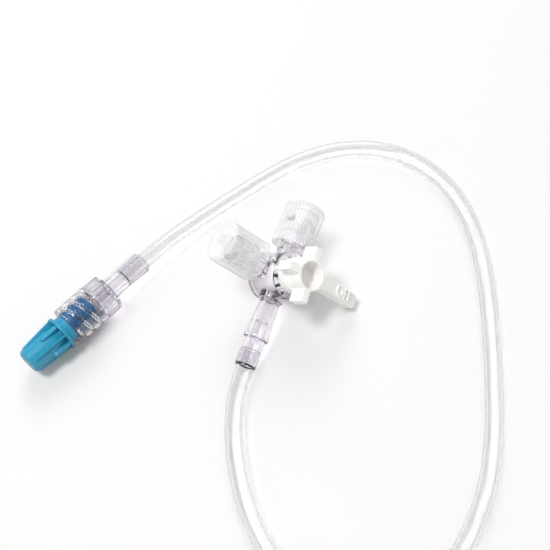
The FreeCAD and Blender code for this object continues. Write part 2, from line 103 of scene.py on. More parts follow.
def stopcock_stand() -> Stand:
    """The stopcock's frame: leaned back by the ports' tilt, then turned about its ports.

    Returns:
        The stand, at the point where the three ways cross.
    """
    tilt, turn = math.radians(12.0), math.radians(43.624698)
    ct, st, cr, sr = math.cos(tilt), math.sin(tilt), math.cos(turn), math.sin(turn)
    axes = np.array([[cr, st * sr, -ct * sr], [0, ct, st], [sr, -st * cr, ct * cr]])
    return Stand(np.array([-0.0012, 0.00205, 0.007848213]), axes)


def connector_stand() -> Stand:
    """The far connector's frame, lying level on a bearing in plan.

    Returns:
        The stand, at the middle of the connector's rear end.
    """
    bearing = math.radians(-110.7)
    along = np.array([math.cos(bearing), math.sin(bearing), 0.0])
    up = np.array([0.0, 0.0, 1.0])
    return Stand(np.array([-0.0346, -0.0047, 0.00505]), np.array([np.cross(up, along), up, along]))


def softened(corners: list[tuple[float, float]], radius: float, steps: int = 4) -> Array:
    """A half section with its corners rounded.

    Each corner c is replaced by the curve (1-t)^2 a + 2t(1-t) c + t^2 b, where a and b lie on
    its two edges, one radius away but no further than 0.45 of the edge. Corners on the axis stay.

    Args:
        corners: Radius and height of each corner, in order.
        radius: How far the rounding reaches along each edge.
        steps: Divisions of each rounding.

    Returns:
        The points of the softened section, as an array of radius and height.
    """
    c = np.array(corners, float)
    before, after = np.roll(c, 1, axis=0), np.roll(c, -1, axis=0)
    reach = np.where(c[:, 0] > 0, radius, 0.0)
    ends = []
    for neighbour in (before, after):
        edge = neighbour - c
        span = np.maximum(np.linalg.norm(edge, axis=1), 1e-9)
        ends.append(c + edge * (np.minimum(reach, 0.45 * span) / span)[:, None])
    t = np.linspace(0, 1, steps + 1)[None, :, None]
    a, b, mid = ends[0][:, None], ends[1][:, None], c[:, None]
    return ((1 - t) ** 2 * a + 2 * t * (1 - t) * mid + t ** 2 * b).reshape(-1, 2)


def divided(section: Array, longest_edge: float) -> Array:
    """A closed section with no edge longer than asked: more points at equal parts of each edge.

    Args:
        section: Radius and height of each point of the section.
        longest_edge: The longest edge that may stay.

    Returns:
        The points of the finer section.
    """
    ring = np.vstack([section, section[:1]])
    span = np.linalg.norm(np.diff(ring, axis=0), axis=1)
    parts = np.maximum(np.ceil(span / longest_edge), 1).astype(int)
    start = np.repeat(np.arange(len(section)), parts)
    share = np.concatenate([np.arange(n) / n for n in parts])[:, None]
    return ring[start] * (1 - share) + ring[start + 1] * share


def revolved(section: Array, segments: int, change: RadiusChange | None = None) -> tuple[Array, Array]:
    """A closed section carried round Z.

    Point (i, j) is (r cos a, r sin a, z) with a = 2 pi i / segments, z the height of section
    point j, and r its radius, or what change makes of it.

    Args:
        section: Radius and height of each point of the section.
        segments: Divisions of the full turn.
        change: Gives new radii from the grids of angle, radius and height.

    Returns:
        The points, and the faces as rows of four point numbers.
    """
    angle = np.linspace(0, 2 * math.pi, segments, endpoint=False)[:, None]
    radius = np.broadcast_to(section[:, 0], (segments, len(section)))
    height = np.broadcast_to(section[:, 1], radius.shape)
    if change is not None:
        radius = change(np.broadcast_to(angle, radius.shape), radius, height)
    points = np.stack([radius * np.cos(angle), radius * np.sin(angle), height], axis=-1)
    return points.reshape(-1, 3), grid_faces(segments, len(section))


def grid_faces(rows: int, columns: int) -> Array:
    """The four-cornered faces of a grid that closes on itself in both directions.

    Args:
        rows: Points in the first direction.
        columns: Points in the second direction.

    Returns:
        The faces as rows of four point numbers.
    """
    number = np.arange(rows * columns).reshape(rows, columns)
    beside, beyond = np.roll(number, -1, axis=1), np.roll(number, -1, axis=0)
    return np.stack([number, beside, np.roll(beside, -1, axis=0), beyond], axis=-1).reshape(-1, 4)


def mesh_piece(name: str, points: Array, faces: Array, crease: float = CREASE) -> bpy.types.Object:
    """Makes one closed object of a grid of points.

    Args:
        name: The piece's name.
        points: Its points in the part's frame.
        faces: Rows of point numbers.
        crease: Edges that bend by more than this stay sharp.

    Returns:
        The object, with doubled points merged and its faces turned outwards.
    """
    mesh = bpy.data.meshes.new(name)
    mesh.from_pydata(points, [], faces.tolist())
    piece = bpy.data.objects.new(name, mesh)
    bpy.context.scene.collection.objects.link(piece)
    cleaned(mesh, crease)
    return piece


def cleaned(mesh: bpy.types.Mesh, crease: float = CREASE) -> None:
    """Merges doubled points, drops faces without area, turns faces outwards and shades smoothly.

    Args:
        mesh: The mesh, which is changed in place.
        crease: Edges that bend by more than this stay sharp.
    """
    work = bmesh.new()
    work.from_mesh(mesh)
    bmesh.ops.remove_doubles(work, verts=work.verts, dist=MERGE)
    bmesh.ops.dissolve_degenerate(work, edges=work.edges, dist=MERGE)
    bmesh.ops.recalc_face_normals(work, faces=work.faces)
    work.to_mesh(mesh)
    work.free()
    mesh.polygons.foreach_set("use_smooth", np.ones(len(mesh.polygons), bool))
    mesh.set_sharp_from_angle(angle=crease)
    mesh.update()


class Join(Enum):
    """How a second form changes a first one."""

    ADD = "UNION"
    CUT = "DIFFERENCE"


def combined(name: str, base: bpy.types.Object, others: list[bpy.types.Object],
             how: Join) -> bpy.types.Object:
    """One piece of a base with other forms added to it or cut from it; the forms are used up.

    Args:
        name: The new piece's name.
        base: The form that is changed.
        others: The forms that change it.
        how: Whether they are added or cut.

    Returns:
        The new piece.
    """
    for other in others:
        step = base.modifiers.new(other.name, "BOOLEAN")
        step.operation = how.value
        step.solver = "EXACT"
        step.object = other
    shape = base.evaluated_get(bpy.context.evaluated_depsgraph_get())
    mesh = bpy.data.meshes.new_from_object(shape)
    for used in (base, *others):
        bpy.data.objects.remove(used)
    piece = bpy.data.objects.new(name, mesh)
    bpy.context.scene.collection.objects.link(piece)
    cleaned(mesh)
    return piece


def turned(name: str, stand: Stand, corners: list[tuple[float, float]], radius: float, segments: int = 96,
           change: RadiusChange | None = None,
           longest_edge: float | None = None) -> bpy.types.Object:
    """A turned form in a stand: its section is softened, divided where asked, and revolved.

    Args:
        name: The form's name.
        stand: Its Z is the axis of the turning.
        corners: Radius and height of the section's corners.
        radius: How far each corner's rounding reaches.
        segments: Divisions of the full turn.
        change: Ribs, flutes or threads, as a change of the radius.
        longest_edge: Longest edge of the section, where a change needs finer points.

    Returns:
        The object.
    """
    section = softened(corners, radius)
    if longest_edge is not None:
        section = divided(section, longest_edge)
    points, faces = revolved(section, segments, change)
    return mesh_piece(name, stand.carry(points), faces)


def ramp(value: Array, low: float, high: float) -> Array:
    """0 below low and 1 above high, with a smooth step 3t^2 - 2t^3 between them.

    Args:
        value: Where the step is read.
        low: Where it starts.
        high: Where it ends.

    Returns:
        The step's height at each value.
    """
    t = np.clip((value - low) / (high - low), 0, 1)
    return t * t * (3 - 2 * t)


def window(value: Array, low: float, high: float, edge: float) -> Array:
    """1 between low and high, falling smoothly to 0 over an edge outside them.

    Args:
        value: Where the window is read.
        low: Where it is first fully open.
        high: Where it is last fully open.
        edge: How far it takes to open or close.

    Returns:
        The window's height at each value.
    """
    return ramp(value, low - edge, low) * (1 - ramp(value, high, high + edge))


def nearest_turn(angle: Array, count: int, start: float = 0.0) -> Array:
    """Angle to the nearest of count equal divisions of a turn, from -pi/count to pi/count.

    Args:
        angle: Angles in radians.
        count: How many divisions the turn has.
        start: Where the first division stands.

    Returns:
        The signed angles.
    """
    pitch = 2 * math.pi / count
    return (angle - start + pitch / 2) % pitch - pitch / 2


# Finishes

def linear(colour: str) -> tuple[float, float, float, float]:
    """Turns an sRGB hex colour to linear.

    Args:
        colour: The colour, with its leading mark.

    Returns:
        Linear red, green and blue, and a full alpha.
    """
    parts = [int(colour[i:i + 2], 16) / 255 for i in (1, 3, 5)]
    bent = [c / 12.92 if c <= 0.04045 else ((c + 0.055) / 1.055) ** 2.4 for c in parts]
    return (*bent, 1.0)


def add_node(tree: bpy.types.NodeTree, kind: str, settings: dict | None = None,
             values: dict | None = None, links: dict | None = None) -> bpy.types.Node:
    """Adds a node.

    Args:
        tree: The node tree.
        kind: The node's type.
        settings: Its properties by name.
        values: Input values by socket.
        links: The output that feeds each input, by socket.

    Returns:
        The node.
    """
    node = tree.nodes.new(kind)
    for name, value in (settings or {}).items():
        setattr(node, name, value)
    for socket, value in (values or {}).items():
        node.inputs[socket].default_value = value
    for socket, source in (links or {}).items():
        tree.links.new(source, node.inputs[socket])
    return node


class Pattern(Enum):
    """Where a finish reads its pattern: in the piece's space or along its own surface."""

    SPACE = "Object"
    SURFACE = "UV"


@dataclass(frozen=True)
class Finish:
    """What all the plastics here share: a colour that drifts a little, and a slightly uneven skin.

    Shade is the colour in which a clear finish lets the lamps' light pass, and rim the colour to
    which it falls where the wall turns away, which is painted shade for the dark edges of the walls.
    Milk is the share of light that a milky wall scatters, seen straight on and edge on. Absorb and
    density say what the plastic's bulk takes away.
    """

    name: str
    colour: str
    drift: str
    roughness: float
    ior: float
    grain: float
    relief: float
    transmission: float = 0.0
    shade: str | None = None
    # Painted shade: the colour at walls that turn away from the eye.
    rim: str | None = None
    rim_shade_power: float = 3.0
    milk: tuple[float, float] | None = None
    absorb: str | None = None
    density: float = 0.0
    pattern: Pattern = Pattern.SPACE
    stretch: tuple[float, float, float] = (1.0, 1.0, 1.0)
    uneven: float = 0.3

    def build(self) -> bpy.types.Material:
        """The finish as a material.

        Colour is a mix of the two colours by soft noise; the skin is the same noise as a bump and
        as a small change of roughness.

        Returns:
            The material.
        """
        material = bpy.data.materials.new(self.name)
        material.use_nodes = True
        tree = material.node_tree
        tree.nodes.clear()
        place = add_node(tree, "ShaderNodeTexCoord").outputs[self.pattern.value]
        place = add_node(tree, "ShaderNodeMapping", values={"Scale": self.stretch},
                         links={"Vector": place}).outputs["Vector"]
        noise = add_node(tree, "ShaderNodeTexNoise", values={"Scale": 1 / self.grain, "Detail": 3.0},
                         links={"Vector": place}).outputs["Fac"]
        tone = add_node(tree, "ShaderNodeMix", {"data_type": "RGBA"},
                        {"A": linear(self.colour), "B": linear(self.drift)},
                        {"Factor": noise}).outputs["Result"]
        away = None if self.rim is None else self.turned_away(tree)
        rough = add_node(tree, "ShaderNodeMapRange",
                         values={"To Min": self.roughness * (1 - self.uneven),
                                 "To Max": self.roughness * (1 + self.uneven)},
                         links={"Value": noise}).outputs["Result"]
        skin = add_node(tree, "ShaderNodeBump", values={"Distance": self.relief, "Strength": 1.0},
                        links={"Height": noise}).outputs["Normal"]
        plastic = add_node(tree, "ShaderNodeBsdfPrincipled",
                           values={"IOR": self.ior, "Transmission Weight": self.transmission},
                           links={"Base Color": self.rim_shaded(tree, tone, away), "Roughness": rough,
                                  "Normal": skin})
        if self.milk is not None:
            scattered = add_node(tree, "ShaderNodeMapRange",
                                 values={"To Min": self.milk[0], "To Max": self.milk[1]},
                                 links={"Value": away}).outputs["Result"]
            tree.links.new(scattered, plastic.inputs["Alpha"])
        surface = self.lit_through(tree, plastic.outputs["BSDF"], away)
        out = add_node(tree, "ShaderNodeOutputMaterial", links={"Surface": surface})
        if self.absorb is not None:
            body = add_node(tree, "ShaderNodeVolumeAbsorption",
                            values={"Color": linear(self.absorb), "Density": self.density})
            tree.links.new(body.outputs["Volume"], out.inputs["Volume"])
        return material

    def turned_away(self, tree: bpy.types.NodeTree) -> bpy.types.NodeSocket:
        """How far the wall turns away from the eye: 0 straight on, 1 edge on, by the rim's power.

        Args:
            tree: The material's node tree.

        Returns:
            The output that carries it.
        """
        facing = add_node(tree, "ShaderNodeLayerWeight", values={"Blend": 0.5}).outputs["Facing"]
        return add_node(tree, "ShaderNodeMath", {"operation": "POWER"}, {1: self.rim_shade_power},
                        {0: facing}).outputs[0]

    def rim_shaded(self, tree: bpy.types.NodeTree, tone: bpy.types.NodeSocket,
               away: bpy.types.NodeSocket | None) -> bpy.types.NodeSocket:
        """A colour that falls to the rim's where the wall turns away from the eye: painted shade that
        stands in for the dark edges the surroundings give the plastic there.

        Args:
            tree: The material's node tree.
            tone: The colour straight on.
            away: How far the wall turns away, or None for a finish without a rim.

        Returns:
            The output that carries the colour.
        """
        if away is None:
            return tone
        # Painted shade: the colour falls to the rim colour where the wall turns away from the eye.
        return add_node(tree, "ShaderNodeMix", {"data_type": "RGBA"}, {"B": linear(self.rim)},
                        {"A": tone, "Factor": away}).outputs["Result"]

    def lit_through(self, tree: bpy.types.NodeTree, surface: bpy.types.NodeSocket,
                    away: bpy.types.NodeSocket | None) -> bpy.types.NodeSocket:
        """Lets the lamps' light pass a clear finish in its shade colour, with the same rim.

        Args:
            tree: The material's node tree.
            surface: The finish as the eye sees it.
            away: How far the wall turns away, or None for a finish without a rim.

        Returns:
            The output that carries the surface.
        """
        if self.shade is None:
            return surface
        shade = add_node(tree, "ShaderNodeRGB").outputs[0]
        shade.default_value = linear(self.shade)
        through = add_node(tree, "ShaderNodeBsdfTransparent",
                           links={"Color": self.rim_shaded(tree, shade, away)}).outputs["BSDF"]
        lamp_ray = add_node(tree, "ShaderNodeLightPath").outputs["Is Shadow Ray"]
        return add_node(tree, "ShaderNodeMixShader",
                        links={0: lamp_ray, 1: surface, 2: through}).outputs["Shader"]


# Polycarbonate, injection moulded and polished: hard and glassy, a faint violet where it is thick; its rim
# paints dark violet shade where the walls turn away.
CLEAR_BODY = Finish("moulded_polycarbonate", "#FCFBFD", "#F6F4FA", 0.03, 1.585, 0.004, 0.00001,
                    transmission=1.0, shade="#F8F7F9", rim="#3C3150", rim_shade_power=3.3,
                    absorb="#CFC5DB", density=7.0)
# The adapter and the male luer, thin-walled, with a lighter painted edge shade so they stay pale up to
# their edges.
CLEAR_SLEEVE = Finish("moulded_polycarbonate_sleeve", "#FCFBFD", "#F6F4FA", 0.03, 1.585, 0.004, 0.00001,
                      transmission=1.0, shade="#F8F7F9", rim="#5A5068", rim_shade_power=5.0)
# The same resin in the locking collar, a little greyer, with a darker painted shade where its walls turn
# away.
CLEAR_LUER = Finish("moulded_polycarbonate_grey", "#FAF9FB", "#F3F1F5", 0.04, 1.585, 0.004, 0.00001,
                    transmission=1.0, shade="#F3F2F5", rim="#362D4A", rim_shade_power=3.9,
                    absorb="#AE9CC4", density=9.0)
# Painted shade: the ends of the adapter and of the connector's fins are coloured dark, where little light
# comes back out of the clear resin.
CLEAR_END_SHADE = Finish("polycarbonate_end_painted_shade", "#1A171E", "#141117", 0.2, 1.585, 0.001, 0.00001,
                   transmission=0.25, shade="#BDBAC2")
# Soft vinyl, extruded: drawing lines run along the tube and soften what is seen through it; its rim paints
# grey shade where the wall turns away.
CLEAR_TUBE = Finish("extruded_vinyl", "#FCFCFC", "#F7F7F8", 0.05, 1.53, 0.0012, 0.000002,
                    transmission=1.0, shade="#F8F8F8", rim="#4C4D51", rim_shade_power=2.8,
                    absorb="#C9C9CC", density=8.0,
                    pattern=Pattern.SURFACE, stretch=(0.02, 1.0, 1.0))
# Natural polyethylene, moulded in a spark-eroded tool: milky, so the port inside shows as a blur; a light
# painted shade greys the walls that turn away.
FROSTED = Finish("natural_polyethylene", "#FFFFFF", "#FBFBFB", 0.25, 1.51, 0.0005, 0.000002,
                 shade="#F4F3F3", rim="#D3D1D4", rim_shade_power=1.5, milk=(0.24, 0.7))
# White polyethylene with a satin skin, so bright that its edges stay soft.
WHITE = Finish("white_polyethylene", "#FEFDFB", "#FAF8F4", 0.4, 1.51, 0.0006, 0.000008)
# Teal polyethylene: dyed through and satin; painted shade darkens it where the surface turns away from the
# eye, in the grooves and at the edges.
TEAL = Finish("teal_polyethylene", "#2F9EC0", "#2892B5", 0.33, 1.51, 0.0007, 0.000004,
              rim="#07405E", rim_shade_power=2.7)
# The same plastic painted darker inside the collar: painted shade from the collar, so the skirt looks deep
# blue.
TEAL_COLLAR_SHADE = Finish("teal_polyethylene_collar_shade", "#36678B", "#2F5D80", 0.3, 1.51, 0.0007, 0.000008)


def dress(piece: bpy.types.Object, material: bpy.types.Material, body: str, slot: str,
          *nodes: str) -> None:
    """Gives a piece its material and the body it rides on, and hides the solids that it stands for.

    Args:
        piece: The finished piece.
        material: Its material.
        body: The body that it moves with.
        slot: Not used.
        *nodes: Solids that the piece replaces.
    """
    piece.data.materials.clear()
    piece.data.materials.append(material)
    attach(piece, body)
    if nodes:
        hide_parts(*nodes)
    LOG.info("%s: %d faces, rides on %s", piece.name, len(piece.data.polygons), body)


def dress_part(piece: bpy.types.Object, material: bpy.types.Material, chosen: Array) -> None:
    """Gives some faces of a dressed piece a second material.

    Args:
        piece: The piece.
        material: The second material.
        chosen: True for each face that takes it.
    """
    piece.data.materials.append(material)
    piece.data.polygons.foreach_set("material_index", chosen.astype(int))


def face_places(piece: bpy.types.Object, stand: Stand) -> tuple[Array, Array]:
    """Where each face of a piece lies and looks.

    Args:
        piece: The piece.
        stand: Its Z is the axis.

    Returns:
        The height of each face's middle along the axis, and its normal's share along the axis.
    """
    count = len(piece.data.polygons)
    middle, normal = np.empty(count * 3), np.empty(count * 3)
    piece.data.polygons.foreach_get("center", middle)
    piece.data.polygons.foreach_get("normal", normal)
    height = (middle.reshape(-1, 3) - stand.origin) @ stand.axes[2]
    return height, normal.reshape(-1, 3) @ stand.axes[2]


# The tube

@dataclass
class Tube:
    """The extension tube: a hollow hose on one smooth curve over the floor."""

    outer: float = 0.00205
    inner: float = 0.0015
    length: float = 0.293
    around: int = 72
    route: tuple[tuple[float, float, float], ...] = (
        (-0.0012, -0.01673, 0.003856), (-0.0012, -0.025087, 0.00208), (0.0014, -0.0346, 0.00208),
        (0.0073, -0.0456, 0.00208), (0.0155, -0.055, 0.00208), (0.025, -0.0614, 0.00208),
        (0.0357, -0.0629, 0.00208), (0.0458, -0.0592, 0.00208), (0.053, -0.0512, 0.00208),
        (0.0566, -0.04, 0.00208), (0.0579, -0.0273, 0.00208), (0.056, -0.014, 0.00208),
        (0.0526, -0.001, 0.00208), (0.0486, 0.0125, 0.00208), (0.0439, 0.026, 0.00208),
        (0.0372, 0.039, 0.00208), (0.0268, 0.049, 0.00208), (0.013, 0.053, 0.00208),
        (-0.0005, 0.049, 0.00208), (-0.0112, 0.0398, 0.00208), (-0.0194, 0.0272, 0.00208),
        (-0.0268, 0.0138, 0.00298), (-0.032479, 0.000913, 0.00505), (-0.036721, -0.010313, 0.00505),
    )

    def centreline(self) -> Array:
        """The route as a smooth curve of second degree that runs through its first and last points.

        Returns:
            Points along the curve, from the stopcock to the connector.
        """
        curve = bpy.data.curves.new("tube_route", "CURVE")
        curve.dimensions = "3D"
        curve.resolution_u = 16
        spline = curve.splines.new("NURBS")
        spline.points.add(len(self.route) - 1)
        spline.points.foreach_set("co", np.column_stack([self.route, np.ones(len(self.route))]).ravel())
        spline.order_u = 3
        spline.use_endpoint_u = True
        holder = bpy.data.objects.new("tube_route", curve)
        bpy.context.scene.collection.objects.link(holder)
        line = bpy.data.meshes.new_from_object(holder.evaluated_get(bpy.context.evaluated_depsgraph_get()))
        points = np.empty(len(line.vertices) * 3)
        line.vertices.foreach_get("co", points)
        bpy.data.objects.remove(holder)
        bpy.data.meshes.remove(line)
        return points.reshape(-1, 3)

    def surface(self, path: Array) -> bpy.types.Object:
        """The hose round its path.

        At each path point with tangent t, side s = t x up and top u = s x t; the wall point at
        angle a is p + r (s cos a + u sin a). The ring of radii runs along the outside, back along
        the bore, so the wall is one closed skin with square-cut ends.

        Args:
            path: Points of the centreline.

        Returns:
            The tube, with a UV map of length along and angle round, both in metres.
        """
        tangent = np.gradient(path, axis=0)
        tangent /= np.linalg.norm(tangent, axis=1)[:, None]
        side = np.cross(tangent, [0.0, 0.0, 1.0])
        side /= np.linalg.norm(side, axis=1)[:, None]
        top = np.cross(side, tangent)
        count = len(path)
        order = np.concatenate([np.arange(count), np.arange(count)[::-1]])
        radius = np.repeat([self.outer, self.inner], count)
        angle = np.linspace(0, 2 * math.pi, self.around, endpoint=False)[:, None, None]
        out = side[order] * np.cos(angle) + top[order] * np.sin(angle)
        points = path[order] + radius[:, None] * out
        tube = mesh_piece("extension_tube", points.reshape(-1, 3), grid_faces(self.around, 2 * count))
        run = np.concatenate([[0], np.cumsum(np.linalg.norm(np.diff(path, axis=0), axis=1))])[order]
        self.add_map(tube.data, run, np.abs(math.pi - angle[:, 0]) * self.outer)
        return tube

    def add_map(self, mesh: bpy.types.Mesh, along: Array, around: Array) -> None:
        """Writes the UV map.

        Args:
            mesh: The tube's mesh.
            along: Length along the tube at each ring of points.
            around: Length round the tube at each angle, from the side opposite the first.
        """
        grid = np.stack(np.broadcast_arrays(along[None, :], around), axis=-1).reshape(-1, 2)
        corner = np.empty(len(mesh.loops), int)
        mesh.loops.foreach_get("vertex_index", corner)
        layer = mesh.uv_layers.new(name="along_and_round")
        layer.data.foreach_set("uv", grid[corner].ravel())

    def build(self, finish: bpy.types.Material) -> tuple[bpy.types.Object, Array]:
        """Makes and dresses the tube.

        Args:
            finish: The tube's material.

        Returns:
            The tube, and the path that it follows.
        """
        path = self.centreline()
        tube = self.surface(path)
        dress(tube, finish, "set", "clear_tube", "tube")
        return tube, path


# The stopcock: clear body, white tap, two frosted caps and the tube's adapter

@dataclass
class StopcockBody:
    """The clear moulding: barrel and base rim, two female luer ports and the outlet arm."""

    stand: Stand
    barrel: float = 0.0056
    barrel_top: float = 0.005
    base: float = 0.0059
    depth: float = 0.0052
    rim: float = 0.001
    groove: float = 0.005
    groove_height: float = 0.0007
    plug: float = 0.0042
    plug_taper: float = 0.03
    snap_low: float = -0.0046
    snap_high: float = -0.0038
    snap_rise: float = 0.0002
    way: float = 0.0011
    shoulder: float = 0.003
    shoulder_reach: float = 0.0064
    neck: float = 0.0027
    hub: float = 0.0032
    hub_start: float = 0.0084
    hub_rise: float = 0.0006
    reach: float = 0.0148
    lug: float = 0.00375
    lug_width: float = 0.0024
    lug_length: float = 0.0011
    mouth: float = 0.002135
    slope: float = 0.03
    luer_depth: float = 0.008
    arm: float = 0.00235
    arm_mouth: float = 0.00285
    arm_end: float = 0.0164
    lip: float = 0.00298
    lip_length: float = 0.0009
    bonded: float = 0.0015
    bonded_floor: float = 0.0122
    port_fall: float = 0.0003
    arm_fall: float = 0.0004
    lug_edge: float = 0.00015
    lug_foot: float = 0.0002
    barrel_rounding: float = 0.00025
    port_rounding: float = 0.00018
    arm_rounding: float = 0.0002
    seat_rounding: float = 0.00004
    port_longest_edge: float = 0.0002
    bore_rounding: float = 0.00005
    around: int = 128
    port_around: int = 160

    def seat(self, height: float) -> float:
        """Radius of the plug's seat at a height."""
        return self.plug - self.plug_taper * (self.barrel_top - height)

    def port(self, name: str, stand: Stand) -> bpy.types.Object:
        """The outside of one female port.

        Args:
            name: The form's name.
            stand: Its Z is the port's axis.

        Returns:
            The port as a solid form.
        """
        corners = [(0, 0), (self.shoulder, 0), (self.shoulder, self.shoulder_reach),
                   (self.neck, self.shoulder_reach + self.port_fall), (self.neck, self.hub_start),
                   (self.hub, self.hub_start + self.hub_rise), (self.hub, self.reach), (0, self.reach)]
        return turned(name, stand, corners, self.port_rounding, self.port_around, self.lugs,
                      self.port_longest_edge)

    def lugs(self, angle: Array, radius: Array, height: Array) -> Array:
        """Two lugs at a port's mouth: where the hub is within half a lug's width of the X axis, the
        radius goes out to the lug.

        Args:
            angle: Angle of each point about the port.
            radius: Its radius without lugs.
            height: Its height along the port.

        Returns:
            The radius with lugs.
        """
        start = self.reach - self.lug_length
        across = np.abs(np.sin(angle)) * self.hub
        share = 1 - ramp(across, self.lug_width / 2, self.lug_width / 2 + self.lug_edge)
        share = share * ramp(height, start - self.lug_foot, start) * (radius > self.neck)
        return radius + (self.lug - self.hub) * share

    def bore(self, name: str, stand: Stand) -> bpy.types.Object:
        """The way through one port, with the luer's taper at its mouth.

        Args:
            name: The form's name.
            stand: Its Z is the port's axis.

        Returns:
            The form that cuts the way.
        """
        step = self.reach - self.luer_depth
        corners = [(0, 0), (self.way, 0), (self.way, step),
                   (self.mouth - self.slope * self.luer_depth, step), (self.mouth, self.reach),
                   (self.mouth, self.reach + PAST), (0, self.reach + PAST)]
        return turned(name, stand, corners, self.bore_rounding)

    def barrel_form(self) -> bpy.types.Object:
        """The barrel over its base rim, with the groove between them.

        Returns:
            The barrel as a solid form.
        """
        lip = -self.depth + self.rim
        return turned("barrel", self.stand, [
            (0, -self.depth), (self.base, -self.depth), (self.base, lip), (self.groove, lip),
            (self.groove, lip + self.groove_height), (self.barrel, lip + self.groove_height),
            (self.barrel, self.barrel_top), (0, self.barrel_top)], self.barrel_rounding, self.around)

    def seat_form(self) -> bpy.types.Object:
        """What cuts the tapered seat, with the wider groove for the tap's snap ring.

        Returns:
            The form that cuts the seat.
        """
        low, high = self.seat(self.snap_low), self.seat(self.snap_high)
        return turned("seat", self.stand, [
            (0, -self.depth - PAST), (self.seat(-self.depth), -self.depth - PAST),
            (low, self.snap_low), (low + self.snap_rise, self.snap_low),
            (high + self.snap_rise, self.snap_high), (high, self.snap_high),
            (self.plug, self.barrel_top), (self.seat(self.barrel_top + PAST), self.barrel_top + PAST),
            (0, self.barrel_top + PAST)], self.seat_rounding, self.around)

    def arm_form(self, outlet: Stand) -> bpy.types.Object:
        """The outside of the outlet arm, which widens to its lip.

        Args:
            outlet: Its Z is the arm's axis.

        Returns:
            The arm as a solid form.
        """
        lip_start = self.arm_end - self.lip_length
        return turned("arm", outlet, [
            (0, 0), (self.shoulder, 0), (self.shoulder, self.shoulder_reach),
            (self.arm, self.shoulder_reach + self.arm_fall), (self.arm_mouth, lip_start),
            (self.lip, lip_start), (self.lip, self.arm_end), (0, self.arm_end)], self.arm_rounding)

    def build(self, finish: bpy.types.Material) -> bpy.types.Object:
        """Makes and dresses the body.

        Args:
            finish: The body's material.

        Returns:
            The body.
        """
        inline = self.stand.facing((1, 0, 0), (0, 1, 0))
        side = self.stand.facing((0, 0, 1), (-1, 0, 0))
        outlet = self.stand.facing((1, 0, 0), (0, -1, 0))
        outside = combined("outside", self.barrel_form(), [
            self.port("inline", inline), self.port("side", side), self.arm_form(outlet)], Join.ADD)
        arm_way = turned("arm_way", outlet, [
            (0, 0), (self.way, 0), (self.way, self.bonded_floor), (self.bonded, self.bonded_floor),
            (self.bonded, self.arm_end + PAST), (0, self.arm_end + PAST)], HAIR)
        body = combined("clear_body", outside, [
            self.seat_form(), self.bore("inline_bore", inline), self.bore("side_bore", side), arm_way],
            Join.CUT)
        dress(body, finish, "set", "clear_body", "stopcock_body")
        return body


